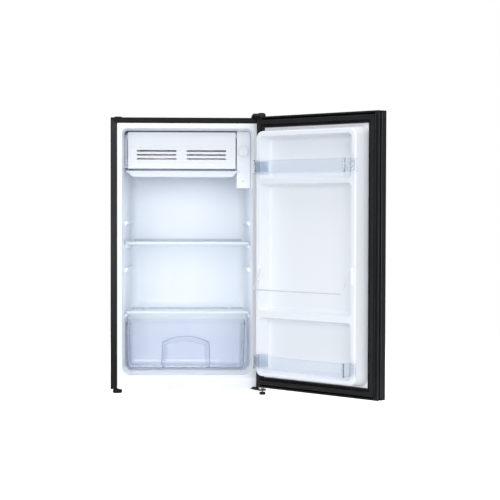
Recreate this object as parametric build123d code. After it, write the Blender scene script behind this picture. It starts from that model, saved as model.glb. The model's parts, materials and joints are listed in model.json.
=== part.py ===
from build123d import *
from math import cos, radians, sin, tan
import os

# Compact single-door refrigerator.  Millimetres, +Z up, front towards -Y.
# The origin is on the floor, at the centre of the cabinet's footprint.
# The door is drawn open on its stop; the other moving pieces are drawn closed.

# ---- cabinet -------------------------------------------------------------
HALF_W = 236.0            # half the width of cabinet and door
FRONT_Y = -200.0          # front plane of the cabinet
BACK_Y = 186.0            # rear face of the back panel
SHELL_LOW = 14.0          # lower edge of the side sheets
TOP_Z = 850.0             # top sheet
SHEET = 1.0               # steel sheet
HEM_W = 20.5              # width of the shell's front return at the sides
HEM_TOP_Z = 832.5         # lower edge of the return at the top
BASE_Z = 16.0             # underside of the base plate
BASE_T = 1.5
RAIL_TOP_Z = 47.5         # top of the white rail under the liner

# ---- liner cavity ----------------------------------------------------------
OPEN_W = 200.5            # half width of the opening
OPEN_LOW = 57.0
OPEN_TOP = 816.5
DRAFT = 2.5               # degrees, all four walls
LINER_T = 1.6
CAVITY_BACK_Y = 140.0
HUMP_Y = 24.0             # front of the step over the compressor bay
HUMP_Z = 240.0            # top of that step
BAY_Y = 57.0              # front of the compressor bay
BAY_TOP = 206.0

# ---- shelves, drawer, freezer box --------------------------------------------
SHELF_Z = 459.0           # underside of the middle shelf's glass
COVER_Z = 242.0           # underside of the crisper cover's glass
GLASS_T = 4.0
FIT_FRONT_Y = -122.0      # front of the fittings, behind the door's own shelves
SPARE_LEVELS = (384.0, 530.0)
LEDGE_W = 8.0

FLAP_X0, FLAP_X1 = -186.0, 150.0
FLAP_Z0, FLAP_Z1 = 695.0, 809.0
SLOT_Z, SLOT_PITCH = 750.5, 12.4
FLAP_AXIS_Y, FLAP_AXIS_Z = -117.5, 800.0
TRAY_Z0, TRAY_Z1 = 670.0, 688.5
KNOB_X, KNOB_Z = 173.8, 749.0
HOUSING_X0, HOUSING_Z0 = 153.5, 635.0

EVAP = (-178.0, 143.0, -104.0, 108.0, 700.0, 797.0)    # freezer box: x, y and z limits
DRAWER_X0, DRAWER_X1 = -192.0, 182.0
DRAWER_REAR_Y = 12.0
DRAWER_LOW, DRAWER_TOP = 68.4, 214.0
WALL = 2.4                # clear mouldings

# ---- door, as closed ---------------------------------------------------------
DOOR_OPEN = 135.0         # degrees, against the hinge stop
PIN_X = 226.0
PIN_Y = -222.0
DOOR_IN_Y = -212.0        # inner face of the door panel
DOOR_T = 35.0
DOOR_LOW, DOOR_TOP = 22.0, 852.0
CAP_T = 5.0
FREE_CORNER_R, HINGE_CORNER_R = 2.2, 6.0    # front corners of the door, in plan
SEAL_T = 11.4
SEAL_IN, SEAL_OUT = 202.0, 226.0
SEAL_LOW, SEAL_TOP = 56.0, 817.0
DYKE_H = 52.0             # the liner's raised wall above the inner face
DYKE_TOP_A, DYKE_FOOT_A = 192.5, 199.0
BAR_H = 40.0
BAR_REACH = 83.0          # front of the bars above the inner face
BAR_A = 175.5
TOP_BAR_Z, LOW_BAR_Z = 675.5, 91.0
BAIL_A, BAIL_W, BAIL_Z = 171.0, 52.0, 390.0

RECESSES = ((659.0, 789.0), (263.0, 646.5), (78.0, 244.0))    # low and high edge of each, at the crest

# ---- feet, hinges, screws --------------------------------------------------------
FOOT_L = (-216.0, -176.0)
FOOT_R = (231.0, -230.0)
HINGE_SCREWS_TOP = ((211.0, -184.0), (223.0, -160.0), (211.0, -136.0))
HINGE_SCREWS_LOW = ((205.0, -180.0), (225.0, -180.0), (205.0, -150.0))
PLUG_PLACES = ((-213.5, -183.0), (-223.0, -150.0))
REAR_SCREWS = [(side * 222.0, z) for side in (-1, 1) for z in (228.0, 425.0, 622.0, 826.0)]
FIT = 0.06                # radial clearance of a running fit

# ---- refrigeration ---------------------------------------------------------------
COMP_X, COMP_Y = -95.0, 121.0
COMPRESSOR_BOLTS = [(COMP_X + sx * 76.0, COMP_Y + sy * 36.0) for sx in (-1, 1) for sy in (-1, 1)]
COMP_Z = BASE_Z + BASE_T + 12.0           # underside of the compressor's legs
POT_WALL = 3.0
COND_X, COND_Y = 185.0, 193.2
COND_LOW, COND_PITCH, COND_ROWS = 262.0, 53.8, 11
TUBE_R = 2.4
WIRE_R, WIRE_PITCH, WIRES = 0.75, 13.4, 25

os.makedirs("parts", exist_ok=True)


def block(x0, x1, y0, y1, z0, z1):
    """Box between two corners."""
    centre = Pos((x0 + x1) / 2, (y0 + y1) / 2, (z0 + z1) / 2)
    return centre * Box(abs(x1 - x0), abs(y1 - y0), abs(z1 - z0))


def rod(x, y, z0, z1, r):
    """Upright cylinder."""
    return Pos(x, y, (z0 + z1) / 2) * Cylinder(r, abs(z1 - z0))


def rod_x(x0, x1, y, z, r):
    """Cylinder along X."""
    return Pos((x0 + x1) / 2, y, z) * Rot(0, 90, 0) * Cylinder(r, abs(x1 - x0))


def rod_y(x, y0, y1, z, r):
    """Cylinder along Y."""
    return Pos(x, (y0 + y1) / 2, z) * Rot(90, 0, 0) * Cylinder(r, abs(y1 - y0))


def plate_xz(points, y0, y1):
    """Polygon in X and Z, extruded from y0 to y1."""
    face = make_face(Polyline(*[(x, 0, z) for x, z in points], close=True))
    return Pos(0, y0, 0) * extrude(face, amount=y1 - y0, dir=(0, 1, 0))


def profile_z(points, z0, z1):
    """Polygon in X and Y, extruded from z0 to z1."""
    face = make_face(Polyline(*[(x, y, 0) for x, y in points], close=True))
    return Pos(0, 0, z0) * extrude(face, amount=z1 - z0, dir=(0, 0, 1))


def soften(shape, edges, radius):
    """Fillet that leaves the shape as it was where the kernel can't make one."""
    try:
        return fillet(edges, radius)
    except Exception:
        print("no fillet of", radius)
        return shape


def tube(points, r, bend):
    """Round bar along straight runs joined by tangent bends."""
    path = FilletPolyline(*points, radius=bend)
    start = Plane(origin=path @ 0, z_dir=path % 0)
    return sweep(start * Circle(r), path=path)


def group(shapes):
    """Several separate solids written as one node."""
    solids = [s for shape in shapes for s in shape.solids()]
    return Compound(children=solids)


def swing_door(shape):
    """Turn a piece of the door from closed to its stop."""
    return shape.rotate(Axis((PIN_X, PIN_Y, 0), (0, 0, 1)), DOOR_OPEN)


def save(name, shape):
    export_step(shape, f"parts/{name}.step")


def screw(x, y, z, along, head_r=4.2, head_h=2.4, shank_r=1.9, length=12.0):
    """Pan-head cross-recess screw whose head stands up along `along` from (x, y, z)."""
    head = Pos(0, 0, head_h / 2) * Cylinder(head_r, head_h)
    head = soften(head, head.edges().group_by(Axis.Z)[-1], head_h * 0.6)
    for turn in (0, 90):
        head -= Pos(0, 0, head_h) * Rot(0, 0, turn) * Box(head_r * 1.1, 1.1, 2.4)
    body = head + Pos(0, 0, -length / 2) * Cylinder(shank_r, length)
    return Plane(origin=(x, y, z), z_dir=along) * body


# ---- cabinet shell ---------------------------------------------------------

def outer_shell():
    outer = block(-HALF_W, HALF_W, FRONT_Y, BACK_Y, SHELL_LOW, TOP_Z)
    round_outer = [e for e in outer.edges().filter_by(Axis.Z)]
    round_outer += outer.edges().filter_by(Axis.X).group_by(Axis.Z)[-1]
    round_outer += outer.edges().filter_by(Axis.Y).group_by(Axis.Z)[-1]
    outer = fillet(round_outer, 2.6)
    inner = block(-HALF_W + SHEET, HALF_W - SHEET, FRONT_Y + SHEET, BACK_Y + 20,
                  SHELL_LOW - 20, TOP_Z - SHEET)
    mouth = block(-HALF_W + HEM_W, HALF_W - HEM_W, FRONT_Y - 5, FRONT_Y + 5, SHELL_LOW - 5, HEM_TOP_Z)
    shell = outer - inner - mouth
    for x, y in HINGE_SCREWS_TOP:
        shell -= rod(x, y, TOP_Z - 5, TOP_Z + 5, 2.0)
    for x, y in PLUG_PLACES:
        shell -= rod(x, y, TOP_Z - 5, TOP_Z + 5, 4.0)
    return shell - block(190, 240, FRONT_Y - 5, -138, 0, BASE_Z)   # room for the lower hinge


def back_panel():
    panel = block(-HALF_W + SHEET, HALF_W - SHEET, BACK_Y - SHEET, BACK_Y, BAY_TOP, TOP_Z - SHEET)
    for row in range(0, COND_ROWS - 1, 2):       # pressed stiffening beads
        z = COND_LOW + COND_PITCH * (row + 0.5)
        bead = block(-170, 170, BACK_Y, BACK_Y + 1.6, z - 9, z + 9)
        bead = chamfer(bead.faces().sort_by(Axis.Y)[-1].edges(), 1.5)
        panel += bead
    for x, z in REAR_SCREWS:
        panel -= rod_y(x, BACK_Y - 5, BACK_Y + 5, z, 1.9)
    return panel


def bay_panel():
    """Bent sheet that closes the foam off from the compressor bay."""
    ceiling = block(-HALF_W + SHEET, HALF_W - SHEET, BAY_Y, BACK_Y, BAY_TOP - SHEET, BAY_TOP)
    front = block(-HALF_W + SHEET, HALF_W - SHEET, BAY_Y, BAY_Y + SHEET, BASE_Z + BASE_T, BAY_TOP - SHEET)
    return ceiling + front


def base_plate():
    plate = block(-HALF_W + SHEET, HALF_W - SHEET, FRONT_Y + SHEET, BACK_Y, BASE_Z, BASE_Z + BASE_T)
    plate -= rod(FOOT_L[0], FOOT_L[1], 0, 40, 4.0 + FIT)
    for x, y in COMPRESSOR_BOLTS:
        plate -= rod(x, y, 0, 40, 3.0)
    for x in range(60, 201, 20):                # air slots beside the compressor
        plate -= block(x - 3, x + 3, 78, 164, 0, 40)
    for x, y in HINGE_SCREWS_LOW:
        plate -= rod(x, y, 0, 40, 2.0)
    return plate


def front_rail():
    """White channel across the front under the liner."""
    edge = HALF_W - HEM_W
    low = BASE_Z + BASE_T
    face = block(-edge, edge, FRONT_Y, FRONT_Y + 1.2, BASE_Z, RAIL_TOP_Z)
    top = block(-edge, edge, FRONT_Y + 1.2, FRONT_Y + 16, RAIL_TOP_Z - 1.2, RAIL_TOP_Z)
    foot = block(-edge, edge, FRONT_Y + 1.2, FRONT_Y + 16, low, low + 1.2)
    rail = face + top + foot
    rail = fillet(rail.edges().filter_by(Axis.X).group_by(Axis.Y)[0], 0.5)
    return rail - block(-edge, edge, FRONT_Y + SHEET, FRONT_Y + 1.2, BASE_Z, low)


# ---- liner -----------------------------------------------------------------

def slope(y):
    """How far a wall has come in at depth y."""
    return (y - FRONT_Y) * tan(radians(DRAFT))


def cavity(grow, front=FRONT_Y):
    """The liner's inner space with its step, made larger all round by `grow`."""
    width = 2 * (OPEN_W + grow)
    height = OPEN_TOP - OPEN_LOW + 2 * grow
    middle = (OPEN_TOP + OPEN_LOW) / 2
    outline = Rectangle(width, height)
    outline = fillet(outline.vertices().group_by(Axis.Y)[-1], 16 + grow)
    outline = fillet(outline.vertices().group_by(Axis.Y)[0], 28 + grow)
    depth = CAVITY_BACK_Y + grow - FRONT_Y
    face = Plane(origin=(0, FRONT_Y, middle), x_dir=(1, 0, 0), z_dir=(0, -1, 0)) * outline
    space = extrude(face, amount=-depth, taper=DRAFT)
    back = space.faces().sort_by(Axis.Y)[-1]
    space = fillet(back.edges(), 26 + grow)
    step = block(-300, 300, HUMP_Y + grow, 400, 0, HUMP_Z - grow)
    edge = step.edges().filter_by(Axis.X).group_by(Axis.Y)[0].group_by(Axis.Z)[-1]
    step = fillet(edge, 18 - grow)
    fill = block(-300, 300, CAVITY_BACK_Y + grow - 30, 400, 0, HUMP_Z - grow + 30)
    scoop = rod_x(-300, 300, CAVITY_BACK_Y + grow - 30, HUMP_Z - grow + 30, 30)
    return space - (step + (fill - scoop))


def inner_liner():
    edge = HALF_W - HEM_W
    flange = block(-edge, edge, FRONT_Y, FRONT_Y + LINER_T, RAIL_TOP_Z, HEM_TOP_Z)
    skin = (flange + cavity(LINER_T)) - cavity(0)
    lip = skin.edges().group_by(Axis.Y)[0]
    lip = [e for e in lip if abs(e.center().X) < OPEN_W + 1 and OPEN_LOW - 1 < e.center().Z < OPEN_TOP + 1]
    skin = soften(skin, lip, 1.2)
    for side in (-1, 1):
        for level in (SHELF_Z - 0.6, COVER_Z - 0.6) + SPARE_LEVELS:
            skin += ledge(side, level)
    return skin


def ledge(side, level):
    """Moulded shelf support along one side wall; its top is at `level`."""
    length = 217.0 if level > 300 else 120.0
    y0 = FIT_FRONT_Y + 22
    y1 = y0 + length
    bar = block(-LEDGE_W, 1.0, 0, length, level - 14, level)
    low = bar.edges().filter_by(Axis.Y).group_by(Axis.X)[0].group_by(Axis.Z)[0]
    bar = chamfer(low, 6.5)
    ends = bar.edges().filter_by(Axis.Z).group_by(Axis.X)[0]
    bar = fillet(ends, 3.0)
    wall = OPEN_W - slope(y0)
    if side > 0:
        return Pos(wall, y0, 0) * Rot(0, 0, DRAFT) * bar
    return Pos(-wall, y0, 0) * Rot(0, 0, -DRAFT) * mirror(bar, about=Plane.YZ)


def cabinet_foam():
    fill = block(-HALF_W + SHEET, HALF_W - SHEET, FRONT_Y + 17, BACK_Y - SHEET,
                 BASE_Z + BASE_T, TOP_Z - SHEET)
    fill += block(-HALF_W + SHEET, HALF_W - SHEET, FRONT_Y + LINER_T, FRONT_Y + 17, RAIL_TOP_Z, TOP_Z - SHEET)
    fill -= cavity(LINER_T) + block(-300, 300, BAY_Y, 300, 0, BAY_TOP)
    for x, y in HINGE_SCREWS_TOP:
        fill -= rod(x, y, TOP_Z - 14, TOP_Z, 2.2)
    for x, y in HINGE_SCREWS_LOW:
        fill -= rod(x, y, BASE_Z, BASE_Z + 12, 2.2)
    for x, z in REAR_SCREWS:
        fill -= rod_y(x, BACK_Y - 14, BACK_Y, z, 2.2)
    return fill - rod(*FOOT_L, BASE_Z, 40, 4.6)


# ---- freezer box and drip tray ----------------------------------------------

def evaporator():
    """Roll-bonded aluminium box with its raised refrigerant channel."""
    x0, x1, y0, y1, z0, z1 = EVAP
    outer = block(x0, x1, y0, y1, z0, z1)
    outer = fillet(outer.edges().filter_by(Axis.Y), 9)
    inner = block(x0 + 1.5, x1 - 1.5, y0 - 5, y1 - 1.5, z0 + 1.5, z1 - 1.5)
    inner = fillet(inner.edges().filter_by(Axis.Y), 7.5)
    body = outer - inner
    for i in range(5):
        y = y0 + 26 + i * 40
        body += block(x0 + 20, x1 - 20, y - 4, y + 4, z1 - 0.5, z1 + 2)
        body += block(x0 + 20, x1 - 20, y - 4, y + 4, z0 - 2, z0 + 0.5)
    return body


def evaporator_hangers():
    """Clips between the evaporator and the liner's ceiling."""
    x0, x1, y0, y1, z0, z1 = EVAP
    clips = []
    for x in (x0 + 30, x1 - 30):
        for y in (y0 + 6, y1 - 8):
            ceiling = OPEN_TOP - slope(y + 6)
            clips.append(block(x - 8, x + 8, y - 6, y + 6, z1, ceiling - 0.2))
    return group(clips)


def freezer_frame():
    """Bezel round the evaporator's mouth, with wings out to the liner and two ears for the flap's pins."""
    x0, x1, y0, y1, z0, z1 = EVAP
    wing_front = y0 - 4.5
    wall = OPEN_W - slope(wing_front) - 1.0
    ceiling = OPEN_TOP - slope(y0) - 0.8
    ring = block(FLAP_X0 - 1, FLAP_X1 + 1, y0 - 3.5, y0, 693.5, 805)
    ring = fillet(ring.edges().filter_by(Axis.Y), 4)
    ring += block(-wall + 17, FLAP_X1 + 1, y0 - 3, y0, 798, ceiling)
    ring += block(-wall, FLAP_X0 - 2.4, wing_front, y0 - 1, 697, 796)
    ring += rod_y(15.2 - wall, wing_front, y0 - 1, 796, 15.2)
    ring += block(FLAP_X0 - 3, FLAP_X0, wing_front, y0 - 1, 697, 706)
    ring -= block(x0 + 2, x1 - 2, -120, y0 + 5, z0 + 2, z1 - 2)
    for inner, outer in ((FLAP_X0 - 0.8, FLAP_X0 - 4.2), (FLAP_X1 + 0.8, FLAP_X1 + 3.0)):
        ear = block(inner, outer, -121, y0, 792, 806)
        ring += ear
        ring -= rod_x(inner + (inner - outer), outer - (inner - outer), FLAP_AXIS_Y, FLAP_AXIS_Z, 1.8 + FIT)
    catch = block(FLAP_X0 - 7, FLAP_X0 - 1, -118, y0, 709, 722)
    catch -= block(FLAP_X0 - 5, FLAP_X0, -119, -112, 712, 719)
    return ring + catch


def freezer_flap():
    """White flap with two groups of three vent slots; it hangs from its top edge."""
    y0 = FIT_FRONT_Y
    y1 = y0 + 2.5
    plate = block(FLAP_X0, FLAP_X1, y0, y1, FLAP_Z0, FLAP_Z1)
    plate = fillet(plate.edges().filter_by(Axis.Y), 3)
    panel_rim = block(FLAP_X0 + 11, FLAP_X1 - 12, y0 - 1, y0 + 0.6, FLAP_Z0 + 19, FLAP_Z1 - 12.5)
    panel_rim = fillet(panel_rim.edges().filter_by(Axis.Y), 4)
    panel_face = block(FLAP_X0 + 13.5, FLAP_X1 - 14.5, y0 - 2, y0 + 0.6, FLAP_Z0 + 21.5, FLAP_Z1 - 15)
    plate -= panel_rim - panel_face
    plate = fillet(plate.faces().sort_by(Axis.Y)[0].outer_wire().edges(), 0.9)
    for x0, x1 in ((-158.5, -34.5), (-3.5, 120.5)):
        for i in range(3):
            z = SLOT_Z - SLOT_PITCH * i
            slot = block(x0, x1, y0 - 1, y1 + 1, z - 2.7, z + 2.7)
            plate -= fillet(slot.edges().filter_by(Axis.Y), 2.6)
    rim = block(FLAP_X0 + 4, FLAP_X1 - 4, y1, y1 + 7, FLAP_Z0 + 4, 786)
    rim -= block(FLAP_X0 + 6, FLAP_X1 - 6, y1 - 1, y1 + 8, FLAP_Z0 + 6, 784)
    flap = plate + rim
    pin_reach = 2.8
    for side, x in ((-1, FLAP_X0), (1, FLAP_X1)):
        lug = block(x - side * 6, x, y1, FLAP_AXIS_Y + 3, FLAP_AXIS_Z - 4, FLAP_AXIS_Z + 4)
        pin = rod_x(x - side * 4, x + side * pin_reach, FLAP_AXIS_Y, FLAP_AXIS_Z, 1.8)
        flap += lug + pin
        flap += block(x, x + side * 0.5, y0 + 0.4, y1, 774, 779.5)
    return flap


def drip_tray():
    """Shallow tray under the freezer box; its front is a lip over a bevelled face."""
    y0, y1 = -126.5, 96.0
    lip = block(-192, 162.3, y0, y0 + 9, TRAY_Z1 - 6, TRAY_Z1)
    lip = fillet(lip.edges().filter_by(Axis.X).group_by(Axis.Y)[0], 1.8)
    lip -= block(150, 170, FIT_FRONT_Y - 0.6, y0 + 20, 0, 900)
    face = plate_xz(((-187, TRAY_Z1 - 6), (153, TRAY_Z1 - 6), (141, TRAY_Z0), (-171, TRAY_Z0)), y0 + 2, y0 + 6)
    body = block(-172, 142, y0 + 6, y1, TRAY_Z0, TRAY_Z1)
    body = fillet(body.edges().filter_by(Axis.Y).group_by(Axis.Z)[0], 5)
    body -= block(-170, 140, y0 + 8, y1 - 2, TRAY_Z0 + 2, TRAY_Z1 + 5)
    side_l = block(-184, -172, y0 + 6, y1, TRAY_Z1 - 2, TRAY_Z1)
    side_r = block(142, 148, y0 + 6, y1, TRAY_Z1 - 2, TRAY_Z1)
    return lip + face + body + side_l + side_r


def tray_rails():
    """Two folded runners that hang from the freezer box and carry the tray's edges."""
    y0, y1 = -102.0, 100.0
    top = EVAP[4] - 2.0
    low = TRAY_Z1 - 2.0 - 0.5
    left = block(-187, -185.5, y0, y1, low - 1.5, top)
    left += block(-185.5, -176, y0, y1, low - 1.5, low)
    left += block(-185.5, -166, y0, y1, top - 1.5, top)
    right = block(149, 150.5, y0, y1, low - 1.5, top)
    right += block(144.5, 149, y0, y1, low - 1.5, low)
    right += block(131, 149, y0, y1, top - 1.5, top)
    return group([left, right])


# ---- thermostat --------------------------------------------------------------

def thermostat_housing():
    grown = block(HOUSING_X0, 230, FIT_FRONT_Y, -22, HOUSING_Z0, 840)
    body = grown & cavity(-0.6)
    front = body.faces().sort_by(Axis.Y)[0]
    body = soften(body, front.edges(), 2.2)
    hollow = block(HOUSING_X0 + 2, 186, FIT_FRONT_Y + 2.2, 0, HOUSING_Z0 + 2, 800)
    body -= hollow
    body -= rod_y(KNOB_X, FIT_FRONT_Y - 5, FIT_FRONT_Y + 5, KNOB_Z, 3.6)
    ring = rod_y(KNOB_X, FIT_FRONT_Y - 0.4, FIT_FRONT_Y + 5, KNOB_Z, 19.0)
    ring -= rod_y(KNOB_X, FIT_FRONT_Y - 5, FIT_FRONT_Y + 8, KNOB_Z, 18.3)
    body -= ring & rod_y(KNOB_X, FIT_FRONT_Y - 1, FIT_FRONT_Y + 0.5, KNOB_Z, 30)
    body -= rod_y(KNOB_X, FIT_FRONT_Y - 5, FIT_FRONT_Y + 9, HOUSING_Z0 + 22, 1.9)
    return body


def thermostat_switch():
    case = block(KNOB_X - 15, KNOB_X + 11, FIT_FRONT_Y + 6, FIT_FRONT_Y + 44, KNOB_Z - 20, KNOB_Z + 20)
    case = fillet(case.edges().filter_by(Axis.Y), 2)
    spindle = rod_y(KNOB_X, FIT_FRONT_Y - 9, FIT_FRONT_Y + 6, KNOB_Z, 3.0)
    return case + spindle


def thermostat_knob():
    """Six-lobed knob with a pointer ridge, on the switch's spindle."""
    y0, y1 = FIT_FRONT_Y - 13, FIT_FRONT_Y - 0.6
    outline = Circle(16.0)
    for i in range(6):
        outline -= Rot(0, 0, 60 * i) * Pos(18.2, 0) * Circle(4.4)
    outline = fillet(outline.vertices(), 1.6)
    body = extrude(outline, amount=y1 - y0)
    body = chamfer(body.edges().group_by(Axis.Z)[-1], 1.2)
    body += Pos(0, 7.5, y1 - y0 + 0.2) * Box(1.6, 9, 0.8)
    knob = Pos(KNOB_X, y1, KNOB_Z) * Rot(90, 0, 0) * body
    return knob - rod_y(KNOB_X, FIT_FRONT_Y - 10, FIT_FRONT_Y + 5, KNOB_Z, 3.0 + FIT)


def sensor_tube():
    """Capillary from the switch to its bulb on the freezer box."""
    line = tube(((KNOB_X - 8, FIT_FRONT_Y + 44, KNOB_Z + 10), (KNOB_X - 8, -40, KNOB_Z + 10),
                 (KNOB_X - 8, -40, 720), (KNOB_X - 8, 30, 720), (EVAP[1] + 3, 30, 720)), 1.0, 7)
    bulb = rod_y(EVAP[1] + 3, 28, 90, 720, 3.0)
    return line + bulb


# ---- shelves and drawer --------------------------------------------------------

def glass_pane(z, y0, y1):
    """Pane that narrows to the rear with the liner's walls."""
    front, rear = 191.5, 191.5 - (y1 - y0) * tan(radians(DRAFT))
    pane = profile_z(((-front, y0), (front, y0), (rear, y1), (-rear, y1)), z, z + GLASS_T)
    return fillet(pane.edges().filter_by(Axis.Z), 4)


def front_trim(z, half, y0, height):
    """Moulded strip that grips the front edge of a glass pane."""
    bar = block(-half, half, y0, y0 + 14, z - 1.5, z - 1.5 + height)
    bar = fillet(bar.edges().filter_by(Axis.X).group_by(Axis.Y)[0], 2.4)
    bar = fillet(bar.edges().filter_by(Axis.Z), 1.5)
    for side in (-1, 1):                          # lugs that wrap the pane's corners
        bar += block(side * (half - 3.4), side * half, y0 + 12, y0 + 22, z - 1.5, z + 5.5)
    slot = block(-191.8, 191.8, y0 + 5, y0 + 40, z, z + GLASS_T)
    return bar - slot


def shelf_rear_trim():
    y1 = 125.0
    bar = block(-176, 176, y1 - 12, y1, SHELF_Z - 1.5, SHELF_Z + 12)
    bar -= block(-200, 200, y1 - 14, 122, SHELF_Z, SHELF_Z + GLASS_T)
    bar -= block(-200, 200, y1 - 14, y1 - 4, SHELF_Z + GLASS_T + 1.5, SHELF_Z + 20)
    return bar


def shelf_glass():
    return glass_pane(SHELF_Z, -125, 122)


def cover_rear_trim():
    """Rear strip of the crisper cover, broken by two finger notches."""
    bar = block(-181, 181, 56, 68, COVER_Z - 1.5, COVER_Z + 7)
    bar = fillet(bar.edges().filter_by(Axis.X).group_by(Axis.Z)[-1], 1.5)
    bar -= block(-200, 200, 50, 64, COVER_Z, COVER_Z + GLASS_T)
    for side in (-1, 1):
        bar -= block(side * 128, side * 142, 50, 70, COVER_Z + GLASS_T + 1, COVER_Z + 20)
    return bar


def drawer_body(inset, low):
    """Tapered tub, made smaller all round by `inset`; `low` is its underside."""
    x0, x1, rear, z1 = DRAWER_X0, DRAWER_X1, DRAWER_REAR_Y, DRAWER_TOP
    taper = 4.0 + inset
    wide, deep = x1 - x0, rear - FIT_FRONT_Y
    middle = ((x0 + x1) / 2, (FIT_FRONT_Y + rear) / 2)
    rim = Pos(*middle, z1 + inset) * RectangleRounded(wide - 2 * inset, deep - 2 * inset, 20 - inset)
    sole = Pos(*middle, low) * RectangleRounded(wide - 2 * taper, deep - 2 * taper, 19 - inset)
    tub = loft([rim, sole])
    return fillet(tub.faces().sort_by(Axis.Z)[0].edges(), 15 - inset)


def doorway(y, x0, x1, spring, crown, low):
    """Upright outline at depth y: sides that lean in a little under a shallow curved head."""
    lean = 4.0
    left, right = (x0 + lean, y, spring), (x1 - lean, y, spring)
    head = ThreePointArc(left, ((x0 + x1) / 2, y, crown), right)
    feet = (x0, y, low), (x1, y, low)
    return make_face(Line(feet[0], left) + head + Line(right, feet[1]) + Line(feet[1], feet[0]))


def hand_recess(grow):
    """The drawer's hand recess, which narrows inwards, as a solid made larger by `grow`."""
    y, low = FIT_FRONT_Y, DRAWER_LOW + WALL - grow
    mouth = doorway(y - 2, -85 - grow, 75 + grow, 152 + grow, 173 + grow, low)
    back = doorway(y + 20 + grow, -67 - grow, 58 + grow, 137 + grow, 151 + grow, low)
    return loft([mouth, back])


def crisper_drawer():
    """Clear tub with a beaded rim, five raised panels at the rear and a hand recess in front."""
    outer = drawer_body(0, DRAWER_LOW)
    tub = outer - drawer_body(WALL, DRAWER_LOW + WALL)
    bead = outer - drawer_body(WALL + 1.6, DRAWER_LOW + WALL + 1.6)
    tub += bead & block(-300, 300, -300, 300, DRAWER_TOP - 9, DRAWER_TOP)
    raised = drawer_body(WALL - 0.4, DRAWER_LOW + WALL - 0.4) - drawer_body(WALL + 0.9, DRAWER_LOW + WALL + 0.9)
    middle = (DRAWER_X0 + DRAWER_X1) / 2
    for i in range(-2, 3):
        x = middle + 5.3 + 70.6 * i
        tub += raised & block(x - 16, x + 16, DRAWER_REAR_Y - 18, DRAWER_REAR_Y, 91, DRAWER_TOP - 8)
    return (tub + (hand_recess(WALL) & outer)) - hand_recess(0)


# ---- feet and hinges -----------------------------------------------------------

def foot(x, y, pad_r, pad_h, stem_r, top):
    """Levelling foot: ribbed pad on a threaded stem."""
    pad = rod(x, y, 0, pad_h, pad_r)
    pad = fillet(pad.edges().group_by(Axis.Z)[0], 1.6)
    pad = fillet(pad.edges().group_by(Axis.Z)[-1], 1.0)
    count = 16
    for i in range(count):
        a = radians(360 / count * i)
        pad -= rod(x + (pad_r + 0.5) * cos(a), y + (pad_r + 0.5) * sin(a), 2, pad_h + 1, 1.2)
    stem = rod(x, y, pad_h, top, stem_r)
    for i in range(int((top - pad_h - 2) / 1.6)):
        z = pad_h + 2 + 1.6 * i
        stem -= rod(x, y, z, z + 0.6, 5) - rod(x, y, z, z + 0.6, stem_r - 0.4)
    return pad + stem


def rear_feet():
    feet = []
    for x in (-205.0, 205.0):
        body = rod(x, 160, 0, BASE_Z, 12)
        feet.append(fillet(body.edges().group_by(Axis.Z)[0], 1.5))
    return group(feet)


def top_hinge_bracket():
    """Pressed plate: screwed to the cabinet, stepped up over the door."""
    rear = block(202, 234, -196, -126, TOP_Z, TOP_Z + 2.5)
    step = block(204, 234, -200, -192, TOP_Z, TOP_Z + 6.0)
    step -= block(204, 234, -198, -180, TOP_Z + 2.5, TOP_Z + 3.0)
    nose = profile_z(((204, -194), (234, -194), (235.5, -214), (234, -232), (216, -232), (206, -214)),
                     TOP_Z + 3.5, TOP_Z + 6.0)
    plate = rear + step + nose
    for x, y in HINGE_SCREWS_TOP:
        plate -= rod(x, y, TOP_Z - 5, TOP_Z + 20, 2.0)
    return plate - rod(PIN_X, PIN_Y, TOP_Z - 5, TOP_Z + 20, 4.0)


def top_hinge_pin():
    pin = rod(PIN_X, PIN_Y, DOOR_TOP - 22, TOP_Z + 6.0, 4.0)
    pin = chamfer(pin.edges().group_by(Axis.Z)[0], 1.0)
    head = rod(PIN_X, PIN_Y, TOP_Z + 6.0, TOP_Z + 8.4, 6.0)
    return pin + fillet(head.edges().group_by(Axis.Z)[-1], 1.0)


def top_hinge_cover():
    """Moulded cap over the bracket."""
    outer = block(198.5, 238.5, -240, -122, TOP_Z, TOP_Z + 11)
    outer = fillet(outer.edges().filter_by(Axis.Z), 7)
    outer = fillet(outer.edges().group_by(Axis.Z)[-1], 3.5)
    crown = rod(PIN_X, PIN_Y, TOP_Z + 5, TOP_Z + 13.5, 10.5)
    crown = fillet(crown.edges().group_by(Axis.Z)[-1], 2.0)
    hollow = block(200.3, 236.7, -238, -124, TOP_Z - 1, TOP_Z + 9.2)
    over_door = block(190, 260, -260, -195, TOP_Z - 1, DOOR_TOP + 0.7)
    return (outer + crown) - hollow - over_door - rod(PIN_X, PIN_Y, 0, TOP_Z + 11.5, 8.0)


def hinge_hole_plugs():
    """Caps over the unused hinge holes of the reversible top."""
    plugs = []
    for (x, y), r in zip(PLUG_PLACES, (12.0, 8.0)):
        head = rod(x, y, TOP_Z, TOP_Z + 2.6, r)
        head = fillet(head.edges().group_by(Axis.Z)[-1], 1.8)
        plugs.append(head + rod(x, y, TOP_Z - SHEET, TOP_Z, 4.0))
    return group(plugs)


def bottom_hinge_bracket():
    """Thick plate under the cabinet; carries the lower pin and the right foot."""
    z0, z1 = BASE_Z - 3.0, BASE_Z
    rear = block(196, 234, -200, -140, z0, z1)
    outline = ((200, -200), (234, -200), (242, -216), (242, -236), (236, -243), (222, -243), (204, -214))
    nose = profile_z(outline, z0, z1)
    web = block(200, 234, -203.5, -201, z1, DOOR_LOW - 1.5)
    plate = rear + nose + web
    for x, y in HINGE_SCREWS_LOW:
        plate -= rod(x, y, 0, 40, 2.0)
    plate -= rod(PIN_X, PIN_Y, z0 - 5, z1 + 5, 4.0)
    return plate - rod(*FOOT_R, z0 - 5, z1 + 5, 3.0 + FIT)


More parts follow.
